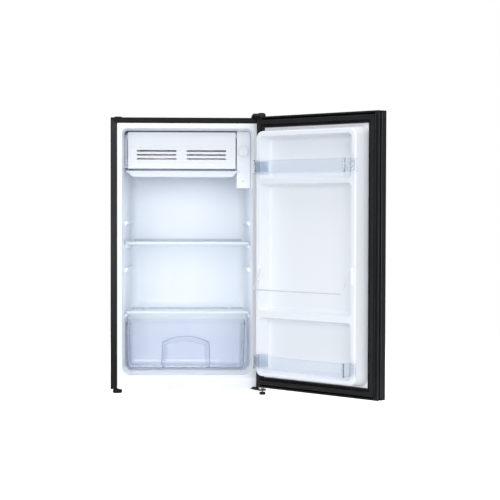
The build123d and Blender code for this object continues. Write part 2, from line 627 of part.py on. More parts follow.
def bottom_hinge_pin():
    pin = rod(PIN_X, PIN_Y, BASE_Z - 3.0, DOOR_LOW + 18, 4.0)
    pin = chamfer(pin.edges().group_by(Axis.Z)[-1], 1.0)
    collar = rod(PIN_X, PIN_Y, BASE_Z, DOOR_LOW - 0.6, 6.5)
    return pin + collar


def hinge_screws():
    top = [screw(x, y, TOP_Z + 2.5, (0, 0, 1)) for x, y in HINGE_SCREWS_TOP]
    low = [screw(x, y, BASE_Z - 3.0, (0, 0, -1)) for x, y in HINGE_SCREWS_LOW]
    return group(top + low)


# ---- refrigeration -------------------------------------------------------------

def pot(inset):
    """The compressor's domed shell as a solid, made smaller all round by `inset`."""
    z0 = COMP_Z
    lower_plan = RectangleRounded(152 - 2 * inset, 112 - 2 * inset, 52 - inset)
    upper_plan = RectangleRounded(150 - 2 * inset, 110 - 2 * inset, 51 - inset)
    lower = Pos(COMP_X, COMP_Y, z0 + 2 + inset) * extrude(lower_plan, amount=68)
    lower = fillet(lower.edges().group_by(Axis.Z)[0], 20 - inset)
    upper = Pos(COMP_X, COMP_Y, z0 + 69) * extrude(upper_plan, amount=65 - inset)
    upper = fillet(upper.edges().group_by(Axis.Z)[-1], 38 - inset)
    return lower + upper


def compressor():
    """Welded steel pot on a four-legged foot plate."""
    z0 = COMP_Z
    seam = Pos(COMP_X, COMP_Y, z0 + 66) * extrude(RectangleRounded(157, 117, 54), amount=4)
    legs = block(COMP_X - 86, COMP_X + 86, COMP_Y - 44, COMP_Y - 26, z0, z0 + 3)
    legs += block(COMP_X - 86, COMP_X + 86, COMP_Y + 26, COMP_Y + 44, z0, z0 + 3)
    body = (pot(0) + seam + legs) - pot(POT_WALL)
    for x, y in COMPRESSOR_BOLTS:
        body -= rod(x, y, z0 - 5, z0 + 8, 5.0)
    return body


def compressor_motor():
    """Motor and pump inside the pot, drawn as one block with its shaft."""
    z0 = COMP_Z
    motor = Pos(COMP_X, COMP_Y, z0 + 20) * extrude(RectangleRounded(86, 72, 10), amount=58)
    pump = rod(COMP_X, COMP_Y, z0 + 78, z0 + 100, 26)
    return motor + pump + rod(COMP_X, COMP_Y, z0 + 100, z0 + 112, 8)


def compressor_grommets():
    pads = []
    z0 = BASE_Z + BASE_T
    for x, y in COMPRESSOR_BOLTS:
        pad = rod(x, y, z0, z0 + 12, 9) + rod(x, y, z0 + 12, z0 + 15, 5.0) + rod(x, y, z0 + 15, z0 + 18, 8)
        pads.append(pad - rod(x, y, 0, 90, 3.0))
    return group(pads)


def compressor_bolts():
    bolts = []
    for x, y in COMPRESSOR_BOLTS:
        bolt = rod(x, y, BASE_Z - 2.0, BASE_Z + 28, 3.0)
        bolt += rod(x, y, BASE_Z - 4.0, BASE_Z, 5.5)
        nut = Pos(x, y, BASE_Z + BASE_T + 18) * extrude(RegularPolygon(5.6, 6), amount=5)
        bolts.append(bolt + nut)
    return group(bolts)


def relay_cover():
    """Box on the side of the compressor for the starter and the overload switch."""
    x0 = COMP_X + 76.2
    body = block(x0, x0 + 34, COMP_Y - 30, COMP_Y + 30, 62, 122)
    body = fillet(body.edges().filter_by(Axis.X), 5)
    body = fillet(body.faces().sort_by(Axis.X)[-1].edges(), 3)
    seam = Pos(COMP_X, COMP_Y, 94) * extrude(RectangleRounded(157.4, 117.4, 54), amount=6)
    return body - seam


def power_inlet():
    """Moulded gland where the supply lead would leave the bay."""
    bracket = block(150, 214, 180, 182, 120, 190)
    gland = rod_y(182, 172, 190, 155, 9) + rod_y(182, 177, 180, 155, 12)
    gland = fillet(gland.edges().group_by(Axis.Y)[-1], 2)
    gland -= rod_y(182, 165, 195, 155, 3.6)
    return bracket + gland


def condenser_tube():
    """Serpentine on the back; its inlet comes up out of the bay."""
    inlet_x = -COND_X + 8
    points = [(inlet_x, COND_Y, 190.0), (inlet_x, COND_Y, COND_LOW)]
    side = 1
    for row in range(COND_ROWS):
        z = COND_LOW + COND_PITCH * row
        if row:
            points.append((-side * COND_X, COND_Y, z))
        points.append((side * COND_X, COND_Y, z))
        side = -side
    return tube(points, TUBE_R, 14)


def condenser_wires():
    """Upright wires spot-welded to the front and back of the serpentine."""
    wires = []
    gap = TUBE_R + WIRE_R
    top = COND_LOW + COND_PITCH * (COND_ROWS - 1) + 14
    for i in range(WIRES):
        x = WIRE_PITCH * (i - (WIRES - 1) / 2)
        for side in (-1, 1):
            wires.append(rod(x, COND_Y + side * gap, COND_LOW - 14, top, WIRE_R))
    return group(wires)


def condenser_brackets():
    """Moulded stand-offs that hold the serpentine off the back panel, between two wires."""
    clips = []
    for side in (-1, 1):
        x = side * WIRE_PITCH * ((WIRES - 1) / 2 - 0.5)
        for row in (1, COND_ROWS - 2):
            z = COND_LOW + COND_PITCH * row
            clip = block(x - 4.5, x + 4.5, BACK_Y, COND_Y + TUBE_R + 1.6, z - 9, z + 9)
            clip = fillet(clip.edges().filter_by(Axis.Y), 2)
            clips.append(clip - rod_x(x - 10, x + 10, COND_Y, z, TUBE_R))
    return group(clips)


def rear_screws():
    return group([screw(x, BACK_Y, z, (0, 1, 0)) for x, z in REAR_SCREWS])


def filter_drier():
    body = rod(60, 150, 75, 165, 9)
    body += rod(60, 150, 165, 182, 3.2) + rod(60, 150, 55, 75, 2.4)
    return body


def refrigerant_tubes():
    """Copper lines in the bay: discharge, suction, liquid and the crimped filling stub."""
    x, y = COMP_X, COMP_Y
    discharge = tube(((x - 60, y + 20, 150), (x - 60, y + 20, 180), (-COND_X + 8, y + 20, 180),
                      (-COND_X + 8, COND_Y, 180), (-COND_X + 8, COND_Y, 190)), 2.4, 8)
    suction = tube(((x + 40, y - 20, 158), (x + 40, y - 20, 185), (20, y - 20, 185), (20, BAY_Y + 10, 185),
                    (20, BAY_Y + 10, 204.9)), 3.2, 9)
    liquid = tube(((60, 150, 182), (60, 150, 194), (110, 150, 194), (110, 150, 204.9)), 2.4, 5)
    stub = rod(x + 5, y + 30, 152, 186, 3.0) + block(x + 1.6, x + 8.4, y + 29, y + 31, 186, 194)
    return group([discharge, suction, liquid, stub])


def drain_pan():
    """Open pan over the compressor that dries off the defrost water."""
    z0 = COMP_Z + 134
    pan = block(COMP_X - 50, COMP_X + 32, COMP_Y - 32, COMP_Y + 24, z0, z0 + 15)
    return pan - block(COMP_X - 48, COMP_X + 30, COMP_Y - 30, COMP_Y + 22, z0 + 2, z0 + 30)


# ---- door (drawn closed, then swung to its stop) ----------------------------------

def door_section(inset):
    """Plan outline of the door: rounded front corners and a finger groove on the free side."""
    x = HALF_W - inset
    y_out = DOOR_IN_Y - DOOR_T + inset
    y_in = DOOR_IN_Y - inset
    g0, g1, gd = DOOR_IN_Y - 3.5 + inset, DOOR_IN_Y - 14.5 - inset, 5.0
    ring = Polyline((-x, g1), (-x, y_out), (x, y_out), (x, y_in), (-x, y_in), (-x, g0),
                    (-x + gd, g0), (-x + gd, g1), (-x, g1))
    face = make_face(ring)
    for side, radius in ((-1, FREE_CORNER_R), (1, HINGE_CORNER_R)):
        corner = [v for v in face.vertices() if abs(v.Y - y_out) < 0.01 and abs(v.X - side * x) < 0.01]
        face = fillet(corner, radius - inset)
    return face


def door_panel():
    """Folded steel skin with hems that turn in over the inner face."""
    low, top = DOOR_LOW + CAP_T, DOOR_TOP - CAP_T
    outer = Pos(0, 0, low) * extrude(door_section(0), amount=top - low)
    inner = Pos(0, 0, low - 5) * extrude(door_section(SHEET), amount=top - low + 10)
    mouth = block(-HALF_W + 16, HALF_W - 16, DOOR_IN_Y - 3, DOOR_IN_Y + 3, low - 5, top + 5)
    return outer - inner - mouth


def door_cap(z0, z1, lip):
    """End cap of the door, with a rounded rim and a seat for the hinge bush."""
    cap = Pos(0, 0, z0) * extrude(door_section(0), amount=z1 - z0)
    outward = cap.faces().sort_by(Axis.Z)[-1 if lip > 0 else 0]
    cap = soften(cap, outward.outer_wire().edges(), 1.2)
    z_in = z0 if lip > 0 else z1
    boss = rod(PIN_X, PIN_Y, z_in, z_in - lip * 18, 8.5)
    boss &= block(0, HALF_W - SHEET - 0.2, DOOR_IN_Y - DOOR_T + 2, DOOR_IN_Y - 2, z_in, z_in - lip * 18)
    return (cap + boss) - rod(PIN_X, PIN_Y, z0 - 40, z1 + 40, 6.0)


def hinge_bushes():
    """Flanged plastic bushes, one in each end cap."""
    bore = 4.0 + FIT
    top = rod(PIN_X, PIN_Y, DOOR_TOP - CAP_T - 18, DOOR_TOP, 6.0) - rod(PIN_X, PIN_Y, 0, 999, bore)
    low = rod(PIN_X, PIN_Y, DOOR_LOW, DOOR_LOW + CAP_T + 18, 6.0) - rod(PIN_X, PIN_Y, 0, 999, bore)
    return group([top, low])


def ring_frame(a_out, a_in, z_low, z_top, w0, w1, radius):
    """Rectangular ring on the door's inner face, from height w0 to w1."""
    y0, y1 = DOOR_IN_Y + w0, DOOR_IN_Y + w1
    rim = a_out - a_in
    outer = block(-a_out, a_out, y0, y1, z_low - rim, z_top + rim)
    inner = block(-a_in, a_in, y0 - 5, y1 + 5, z_low, z_top)
    if radius:
        outer = fillet(outer.edges().filter_by(Axis.Y), radius)
        inner = fillet(inner.edges().filter_by(Axis.Y), max(radius - rim, 1.0))
    return outer - inner


def door_gasket():
    """Bellows seal: flat foot, two ribs and a hollow bulb that holds the magnet."""
    foot_ring = ring_frame(SEAL_OUT, SEAL_IN, SEAL_LOW, SEAL_TOP, 0, 2.0, 0)
    bulb = ring_frame(SEAL_OUT - 2, SEAL_OUT - 14, SEAL_LOW - 10, SEAL_TOP + 10, 5.0, SEAL_T, 0)
    neck = ring_frame(SEAL_OUT - 4, SEAL_OUT - 12, SEAL_LOW - 12, SEAL_TOP + 12, 2.0, 5.0, 0)
    wing = ring_frame(SEAL_IN + 6, SEAL_IN + 2.5, SEAL_LOW - 2.5, SEAL_TOP + 2.5, 2.0, 6.5, 0)
    return (foot_ring + bulb + neck + wing) - gasket_magnet()


def gasket_magnet():
    return ring_frame(SEAL_OUT - 3.5, SEAL_OUT - 12.5, SEAL_LOW - 11.5, SEAL_TOP + 11.5, 6.4, 10.4, 0)


def dyke_block(a_foot, a_top, low_foot, low_top, top_foot, top_top, w0, w1, radius):
    """Tapered block on the door's inner face, w0 to w1 above it."""
    h_foot, h_top = top_foot - low_foot, top_top - low_top
    foot = RectangleRounded(2 * a_foot, h_foot, radius)
    crest = RectangleRounded(2 * a_top, h_top, radius)
    foot_mid = (0, DOOR_IN_Y + w0, (low_foot + top_foot) / 2)
    crest_mid = (0, DOOR_IN_Y + w1, (low_top + top_top) / 2)
    at_foot = Plane(origin=foot_mid, x_dir=(1, 0, 0), z_dir=(0, -1, 0)) * foot
    at_crest = Plane(origin=crest_mid, x_dir=(1, 0, 0), z_dir=(0, -1, 0)) * crest
    return loft([at_foot, at_crest])


def door_liner():
    """White liner: a rounded wall all round, three recesses and two cross ribs that carry bottles."""
    edge = HALF_W - 18
    flange = block(-edge, edge, DOOR_IN_Y - LINER_T, DOOR_IN_Y, DOOR_LOW + 16, DOOR_TOP - 16)
    dyke = dyke_block(DYKE_FOOT_A, DYKE_TOP_A, 60, 66, 812, 803, 0, DYKE_H, 24)
    crest = dyke.faces().sort_by(Axis.Y)[-1]
    dyke = fillet(crest.edges(), 6)
    body = flange + dyke
    for side in (-1, 1):
        body += bail_bump(side)
    for low, high in RECESSES:
        pocket = dyke_block(172, 178, low + 6, low, high - 6, high, 6.0, DYKE_H + 2, 14)
        pocket = fillet(pocket.faces().sort_by(Axis.Y)[0].edges(), 9)
        if low == RECESSES[1][0]:
            pocket -= bail_bump(-1) + bail_bump(1)
        body -= pocket
    for side in (-1, 1):
        body -= rod_x(side * (BAIL_A - 3), side * (BAIL_A + 10), DOOR_IN_Y + BAIL_W, BAIL_Z, 1.5 + FIT)
    return body - liner_back()


def bail_bump(side):
    """Raised boss on the wall's inner side that takes one end of the wire bail."""
    bump = block(side * 175.2, side * 185.5, DOOR_IN_Y + 8, DOOR_IN_Y + 56.5, 352, 404)
    return fillet(bump.edges(), 5.0)


def liner_back():
    """Hollow behind the wall and ribs, filled by the foam."""
    hollow = dyke_block(DYKE_FOOT_A - 2, DYKE_TOP_A - 2, 62, 68, 810, 801, -LINER_T, DYKE_H - 2, 22)
    for low, high in RECESSES:
        hollow -= dyke_block(174, 181, low + 4, low - 2.4, high - 4, high + 2.4, 4.4, DYKE_H + 2, 15)
    for side in (-1, 1):
        hollow -= block(side * 160, side * 188, DOOR_IN_Y, DOOR_IN_Y + 60, 350, 406)
    return hollow


def door_foam():
    low, top = DOOR_LOW + CAP_T, DOOR_TOP - CAP_T
    fill = block(-HALF_W + 8, HALF_W - SHEET, DOOR_IN_Y - DOOR_T + SHEET, DOOR_IN_Y - LINER_T,
                 low + 18.5, top - 18.5)
    fill = fillet(fill.edges().filter_by(Axis.Z).group_by(Axis.Y)[0], 5)
    return fill + liner_back()


def door_bar(z0):
    """Clear bottle guard: a shallow tray front whose ends hook over the liner's wall."""
    y_out = DOOR_IN_Y + BAR_REACH
    y_clip = DOOR_IN_Y + 37
    crest = DOOR_IN_Y + DYKE_H + 0.5
    z1 = z0 + BAR_H
    edge, t = 195.0, 2.4
    bar = block(-BAR_A, BAR_A, y_out - t, y_out, z0, z1)
    for side in (-1, 1):
        bar += block(side * (BAR_A - t), side * BAR_A, y_clip, y_out - t, z0, z1)
        bar += block(side * BAR_A, side * edge, crest, crest + t, z0, z1)
        bar += block(side * (edge - 1.5), side * edge, crest - 5.5, crest, z0, z1)
        for i in range(5):
            z = z0 + 6 + i * 7
            bar += block(side * BAR_A, side * (BAR_A + 1.2), crest + t, y_out - 12, z - 0.8, z + 0.8)
    corners = [e for e in bar.edges().filter_by(Axis.Z)
               if abs(abs(e.center().X) - BAR_A) < 0.1 and abs(e.center().Y - y_out) < 0.1]
    return fillet(corners, 4.0)


def bottle_bail():
    """Wire guard: a U of round wire whose ends turn out into the liner's bosses."""
    r = 1.5
    y0, y1 = DOOR_IN_Y + BAIL_W, DOOR_IN_Y + 84.0
    z1 = 328.0
    a = BAIL_A
    left = [(-a - 9, y0, BAIL_Z), (-a, y0, BAIL_Z), (-a, y1, z1)]
    right = [(-x, y, z) for x, y, z in reversed(left)]
    return tube(left + right, r, 4.0)


# ---- write every node ------------------------------------------------------------

FIXED = {
    "outer_shell": outer_shell, "back_panel": back_panel, "bay_panel": bay_panel, "base_plate": base_plate,
    "front_rail": front_rail, "inner_liner": inner_liner, "cabinet_foam": cabinet_foam,
    "evaporator": evaporator, "evaporator_hangers": evaporator_hangers, "freezer_frame": freezer_frame,
    "tray_rails": tray_rails, "thermostat_housing": thermostat_housing, "thermostat_switch": thermostat_switch,
    "sensor_tube": sensor_tube, "rear_feet": rear_feet, "top_hinge_bracket": top_hinge_bracket,
    "top_hinge_pin": top_hinge_pin, "top_hinge_cover": top_hinge_cover, "hinge_hole_plugs": hinge_hole_plugs,
    "bottom_hinge_bracket": bottom_hinge_bracket, "bottom_hinge_pin": bottom_hinge_pin,
    "hinge_screws": hinge_screws, "compressor": compressor, "compressor_motor": compressor_motor,
    "compressor_grommets": compressor_grommets, "compressor_bolts": compressor_bolts,
    "relay_cover": relay_cover, "power_inlet": power_inlet,
    "condenser_tube": condenser_tube, "condenser_wires": condenser_wires,
    "condenser_brackets": condenser_brackets, "rear_screws": rear_screws, "filter_drier": filter_drier,
    "refrigerant_tubes": refrigerant_tubes, "drain_pan": drain_pan,
}
MOVING = {
    "freezer_flap": freezer_flap, "drip_tray": drip_tray, "thermostat_knob": thermostat_knob,
    "shelf_glass": shelf_glass,
    "shelf_front_trim": lambda: front_trim(SHELF_Z, 195.2, -130.0, 9.6),
    "shelf_rear_trim": shelf_rear_trim,
    "cover_glass": lambda: glass_pane(COVER_Z, -121, 64),
    "cover_front_trim": lambda: front_trim(COVER_Z, 195.2, -126.0, 9.0),
    "cover_rear_trim": cover_rear_trim, "crisper_drawer": crisper_drawer,
    "left_foot": lambda: foot(*FOOT_L, 14.2, 10.0, 4.0, 36.0),
    "right_foot": lambda: foot(*FOOT_R, 9.5, 9.0, 3.0, BASE_Z),
}
DOOR = {
    "door_panel": door_panel,
    "door_top_cap": lambda: door_cap(DOOR_TOP - CAP_T, DOOR_TOP, 1),
    "door_bottom_cap": lambda: door_cap(DOOR_LOW, DOOR_LOW + CAP_T, -1),
    "hinge_bushes": hinge_bushes, "door_liner": door_liner, "door_foam": door_foam,
    "door_gasket": door_gasket, "gasket_magnet": gasket_magnet,
    "door_bar_top": lambda: door_bar(TOP_BAR_Z), "door_bar_bottom": lambda: door_bar(LOW_BAR_Z),
    "bottle_bail": bottle_bail,
}

for name, make in {**FIXED, **MOVING}.items():
    save(name, make())
for name, make in DOOR.items():
    save(name, swing_door(make()))
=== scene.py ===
import json
import math

import bmesh
import bpy
from mathutils import Matrix, Vector


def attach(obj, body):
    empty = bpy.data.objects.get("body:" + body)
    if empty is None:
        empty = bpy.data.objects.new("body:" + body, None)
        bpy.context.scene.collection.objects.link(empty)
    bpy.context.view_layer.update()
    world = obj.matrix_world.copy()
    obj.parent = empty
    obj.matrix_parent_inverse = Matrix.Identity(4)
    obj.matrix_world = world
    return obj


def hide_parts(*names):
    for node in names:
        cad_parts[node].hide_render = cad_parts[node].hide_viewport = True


# Compact refrigerator, door open.  Metres, +Z up, front towards -Y, as the CAD frame has it.

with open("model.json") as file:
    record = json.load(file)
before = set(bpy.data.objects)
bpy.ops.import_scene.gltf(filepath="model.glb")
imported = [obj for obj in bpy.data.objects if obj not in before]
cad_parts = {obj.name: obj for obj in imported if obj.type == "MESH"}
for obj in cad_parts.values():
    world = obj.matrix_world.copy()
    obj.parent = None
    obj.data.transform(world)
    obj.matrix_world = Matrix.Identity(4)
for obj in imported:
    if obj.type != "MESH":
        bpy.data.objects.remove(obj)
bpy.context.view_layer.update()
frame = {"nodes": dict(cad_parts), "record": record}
nodes = frame["nodes"]
MM = 0.001

scene = bpy.context.scene
scene.view_settings.view_transform = "Standard"
scene.cycles.max_bounces = 20
scene.cycles.diffuse_bounces = 8
scene.cycles.transmission_bounces = 20
scene.cycles.transparent_max_bounces = 24


# ---- node materials ------------------------------------------------------------

# Places on the cabinet that two of the materials follow; the last is the height where the bezel's painted
# shade begins.
SHELL_HALF, SHELL_TOP, SHELL_FRONT = 0.236, 0.850, -0.198
SHADE_STRIP_Z = 0.800


class Shader:
    """A Principled material whose colour, roughness and bump are built from noise layers."""

    def __init__(self, name, color, roughness, **sockets):
        self.material = bpy.data.materials.new(name)
        self.material.use_nodes = True
        self.tree = self.material.node_tree
        self.bsdf = self.tree.nodes["Principled BSDF"]
        self.coords = self.tree.nodes.new("ShaderNodeTexCoord").outputs["Object"]
        self.normal = None
        self.bsdf.inputs["Base Color"].default_value = (*color, 1.0)
        self.bsdf.inputs["Roughness"].default_value = roughness
        for socket, value in sockets.items():
            self.bsdf.inputs[socket.replace("_", " ")].default_value = value

    def add(self, kind, **inputs):
        """A new node; an input is a number, a colour or another node's output."""
        node = self.tree.nodes.new(kind)
        for name, value in inputs.items():
            key = int(name[1:]) if name[1:].isdigit() else name.replace("_", " ")
            if isinstance(value, bpy.types.NodeSocket):
                self.tree.links.new(value, node.inputs[key])
            else:
                node.inputs[key].default_value = value
        return node

    def noise(self, scale, detail=3.0, rough=0.5, stretch=(1.0, 1.0, 1.0)):
        mapping = self.add("ShaderNodeMapping", Vector=self.coords, Scale=stretch)
        node = self.add("ShaderNodeTexNoise", Vector=mapping.outputs[0], Scale=scale, Detail=detail,
                        Roughness=rough)
        return node.outputs["Fac"]

    def cells(self, scale):
        return self.add("ShaderNodeTexVoronoi", Vector=self.coords, Scale=scale).outputs["Distance"]

    def math(self, operation, a, b=0.0, clamp=False):
        node = self.add("ShaderNodeMath", _0=a, _1=b)
        node.operation = operation
        node.use_clamp = clamp
        return node.outputs[0]

    def remap(self, value, low, high, to_low, to_high):
        node = self.add("ShaderNodeMapRange", Value=value, From_Min=low, From_Max=high,
                        To_Min=to_low, To_Max=to_high)
        return node.outputs[0]

    def tint(self, amount, color):
        """Mix the colour so far towards another where `amount` is 1."""
        node = self.tree.nodes.new("ShaderNodeMix")
        node.data_type = "RGBA"
        base = self.bsdf.inputs["Base Color"]
        self.tree.links.new(amount, node.inputs[0])
        if base.is_linked:
            self.tree.links.new(base.links[0].from_socket, node.inputs[6])
        else:
            node.inputs[6].default_value = base.default_value
        node.inputs[7].default_value = (*color, 1.0)
        self.tree.links.new(node.outputs[2], base)
        return self

    def roughen(self, value, low, high):
        """Roughness that varies from low to high with `value`."""
        out = self.remap(value, 0.3, 0.7, low, high)
        self.tree.links.new(out, self.bsdf.inputs["Roughness"])
        return self

    def bump(self, height, depth, strength=1.0):
        """Raise the surface by `depth` metres where the height is 1."""
        node = self.add("ShaderNodeBump", Height=height, Strength=strength, Distance=depth)
        if self.normal:
            self.tree.links.new(self.normal, node.inputs["Normal"])
        self.normal = node.outputs[0]
        self.tree.links.new(self.normal, self.bsdf.inputs["Normal"])
        return self

    def absorb(self, color, density):
        """Even absorption inside a clear solid."""
        node = self.tree.nodes.new("ShaderNodeVolumeAbsorption")
        node.inputs["Color"].default_value = (*color, 1.0)
        node.inputs["Density"].default_value = density
        output = self.tree.nodes["Material Output"]
        self.tree.links.new(node.outputs[0], output.inputs["Volume"])
        return self

    def let_lamps_through(self, color):
        """A clear solid doesn't shade what is behind it from the lamps."""
        path = self.tree.nodes.new("ShaderNodeLightPath")
        see_through = self.add("ShaderNodeBsdfTransparent", Color=(*color, 1.0))
        mix = self.add("ShaderNodeMixShader", _0=path.outputs["Is Shadow Ray"], _1=self.bsdf.outputs[0],
                       _2=see_through.outputs[0])
        self.tree.links.new(mix.outputs[0], self.tree.nodes["Material Output"].inputs["Surface"])
        return self


def painted(name, color, roughness, peel=0.00003, spread=0.06):
    """Stoved paint on sheet steel: orange peel, uneven gloss and a faint drift of tone."""
    s = Shader(name, color, roughness, Specular_IOR_Level=0.18)
    drift = s.noise(7.0, 2.0)
    s.tint(s.remap(drift, 0.3, 0.7, 0.0, 0.5), tuple(c * 1.35 + 0.002 for c in color))
    s.roughen(s.noise(38.0, 4.0, 0.6), roughness - spread, roughness + spread)
    return s.bump(s.noise(950.0, 2.0), peel)


def framed(name, color, roughness):
    """The shell's paint, with painted light: its side returns tinted lighter, more so higher up, where the
    lamps light them; and a dark mitre seam at each front top corner.
    """
    s = painted(name, color, roughness)
    s.bsdf.inputs["Specular IOR Level"].default_value = 0.11
    axes = s.add("ShaderNodeSeparateXYZ", Vector=s.coords)
    across = s.math("ABSOLUTE", axes.outputs["X"])
    height = axes.outputs["Z"]
    past = s.math("SUBTRACT", s.math("SUBTRACT", across, SHELL_HALF), s.math("SUBTRACT", height, SHELL_TOP))
    # Painted light: the side returns are tinted lighter, rising with height, where the lamps light them.
    painted_side_light = s.math("MULTIPLY", s.remap(past, 0.0, 0.0006, 0.0, 1.0), s.remap(height, 0.10, 0.45, 0.0, 1.0))
    speckle = s.remap(s.noise(420.0, 3.0), 0.35, 0.65, 0.55, 1.0)
    s.tint(s.math("MULTIPLY", painted_side_light, speckle), tuple(c * 4.6 for c in color))
    in_front = s.remap(axes.outputs["Y"], SHELL_FRONT - 0.0005, SHELL_FRONT + 0.0005, 1.0, 0.0)
    seam = s.math("MULTIPLY", s.remap(s.math("ABSOLUTE", past), 0.0003, 0.0009, 1.0, 0.0), in_front)
    s.tint(seam, (0.002, 0.002, 0.002))
    return s.bump(s.math("SUBTRACT", 1.0, seam), 0.0003)


def grained(name, color, roughness, scale=1900.0, depth=0.00006):
    """Moulded plastic with a spark-eroded grain."""
    s = Shader(name, color, roughness, Specular_IOR_Level=0.18)
    grain = s.cells(scale)
    s.tint(s.remap(s.noise(24.0, 4.0), 0.35, 0.7, 0.0, 0.45), tuple(c * 1.5 + 0.004 for c in color))
    s.roughen(s.noise(90.0, 3.0), roughness - 0.07, roughness + 0.07)
    return s.bump(grain, depth).bump(s.noise(300.0, 3.0), depth * 0.6)


def moulded(name, color, roughness, wave=0.00003):
    """Smooth moulding or vacuum-formed sheet: slow waves in the surface and a slight drift of tone."""
    s = Shader(name, color, roughness, Specular_IOR_Level=0.35)
    s.tint(s.remap(s.noise(5.0, 2.0), 0.3, 0.7, 0.0, 0.5), tuple(c * 0.98 for c in color))
    s.roughen(s.noise(22.0, 3.0, 0.5), roughness - 0.02, roughness + 0.03)
    return s.bump(s.noise(9.0, 1.0), wave).bump(s.noise(900.0, 2.0), 0.000003)


def frame_with_painted_shade(name, color):
    """White bezel whose strip above the flap is painted a deeper blue-grey: painted shade, where the
    cabinet's ceiling shades it.
    """
    s = moulded(name, color, 0.36, 0.00002)
    height = s.add("ShaderNodeSeparateXYZ", Vector=s.coords).outputs["Z"]
    # Painted shade: the strip above the flap is tinted blue-grey.
    above = s.remap(height, SHADE_STRIP_Z - 0.0015, SHADE_STRIP_Z, 0.0, 1.0)
    return s.tint(above, (0.30, 0.34, 0.46))


def metal(name, color, roughness, stretch=(1.0, 1.0, 1.0), scale=400.0, depth=0.00002):
    """Bare or plated metal with drawn or rolled streaks."""
    s = Shader(name, color, roughness, Metallic=1.0)
    streaks = s.noise(scale, 4.0, 0.6, stretch)
    s.tint(s.remap(s.noise(16.0, 5.0, 0.6), 0.35, 0.7, 0.0, 0.6), tuple(c * 0.82 for c in color))
    s.roughen(streaks, roughness - 0.08, roughness + 0.12)
    return s.bump(streaks, depth)


def clear(name, color, absorb, density, roughness, ior):
    """Clear moulding or glass: surface gloss outside, even absorption inside."""
    s = Shader(name, color, roughness, Transmission_Weight=1.0, IOR=ior)
    s.absorb(absorb, density)
    s.roughen(s.noise(45.0, 3.0), max(roughness - 0.01, 0.0), roughness + 0.03)
    return s.bump(s.noise(14.0, 1.0), 0.00002).let_lamps_through((0.80, 0.81, 0.825))


def galvanised():
    """Zinc spangle: angular crystals of slightly different tone."""
    s = Shader("galvanised", (0.56, 0.58, 0.60), 0.38, Metallic=1.0)
    crystals = s.add("ShaderNodeTexVoronoi", Vector=s.coords, Scale=95.0)
    tone = s.add("ShaderNodeSeparateColor", Color=crystals.outputs["Color"]).outputs[0]
    s.tint(s.remap(tone, 0.0, 1.0, 0.0, 0.8), (0.40, 0.42, 0.45))
    s.roughen(tone, 0.30, 0.50)
    return s.bump(s.noise(220.0, 3.0), 0.00002)


def foam():
    """Rigid foam with fine open cells."""
    s = Shader("foam", (0.82, 0.74, 0.50), 0.85)
    s.tint(s.remap(s.noise(30.0, 4.0), 0.3, 0.7, 0.0, 0.7), (0.70, 0.60, 0.36))
    return s.bump(s.cells(900.0), 0.0003)


BLACK = (0.012, 0.012, 0.0125)
WHITE = (0.875, 0.90, 0.935)
MATERIALS = {
    "black_skin": painted("black_skin", BLACK, 0.46),
    "black_plastic": grained("black_plastic", (0.013, 0.013, 0.0135), 0.52),
    "white_liner": moulded("white_liner", WHITE, 0.30),
    "white_paint": painted("white_paint", (0.84, 0.86, 0.89), 0.30, 0.00002, 0.04),
    "white_plastic": moulded("white_plastic", (0.82, 0.84, 0.87), 0.34, 0.00002),
    # Painted shade: the white trims are given a darker blue-grey so they read less lit than the lamps make
    # them.
    "trim_plastic": moulded("trim_plastic", (0.55, 0.60, 0.66), 0.24, 0.00002),
    "clear_plastic": clear("clear_plastic", (0.985, 0.985, 0.99), (0.46, 0.60, 0.86), 36.0, 0.02, 1.5),
    "shelf_glass": clear("shelf_glass", (0.98, 1.0, 1.0), (0.45, 0.75, 0.70), 8.0, 0.005, 1.52),
    "aluminium": metal("aluminium", (0.80, 0.82, 0.84), 0.36, (1.0, 12.0, 1.0)),
    "galvanised": galvanised(),
    "plated_steel": metal("plated_steel", (0.78, 0.79, 0.81), 0.20),
    "black_steel": painted("black_steel", (0.016, 0.016, 0.017), 0.28, 0.00005, 0.08),
    "copper": metal("copper", (0.80, 0.44, 0.30), 0.30, scale=120.0),
    "foam": foam(),
    "gasket": grained("gasket", (0.012, 0.012, 0.013), 0.42, 2600.0, 0.00002),
    "rubber": grained("rubber", (0.028, 0.028, 0.028), 0.70, 1200.0, 0.00005),
    "magnet": grained("magnet", (0.05, 0.05, 0.05), 0.60),
}
MATERIALS = {name: shader.material for name, shader in MATERIALS.items()}
OWN_FINISH = {
    "outer_shell": framed("shell_paint", (0.0075, 0.0075, 0.008), 0.46).material,
    "freezer_frame": frame_with_painted_shade("frame_plastic", (0.74, 0.77, 0.84)).material,
    # Painted shade: the drip tray's white plastic is darker than the other white mouldings, offsetting the
    # lamp light on its bevel.
    "drip_tray": moulded("tray_plastic", (0.70, 0.74, 0.79), 0.34, 0.00002).material,
    "bottle_bail": metal("bail_wire", (0.90, 0.91, 0.93), 0.42).material,
}

for part in frame["record"]["subparts"]:
    mesh = nodes[part["node"]].data
    mesh.materials.clear()
    mesh.materials.append(OWN_FINISH.get(part["node"], MATERIALS[part["material_slot"]]))


# ---- pieces modelled in more detail ------------------------------------------------

# Millimetres.  Points of the door are given as if it were closed: x across, w above its inner face.
PIN = Vector((226.0, -222.0, 0.0))
DOOR_IN_Y = -212.0
OPENING = Matrix.Translation(PIN) @ Matrix.Rotation(math.radians(135.0), 4, "Z") @ Matrix.Translation(-PIN)
IN_METRES = Matrix.Scale(MM, 4)


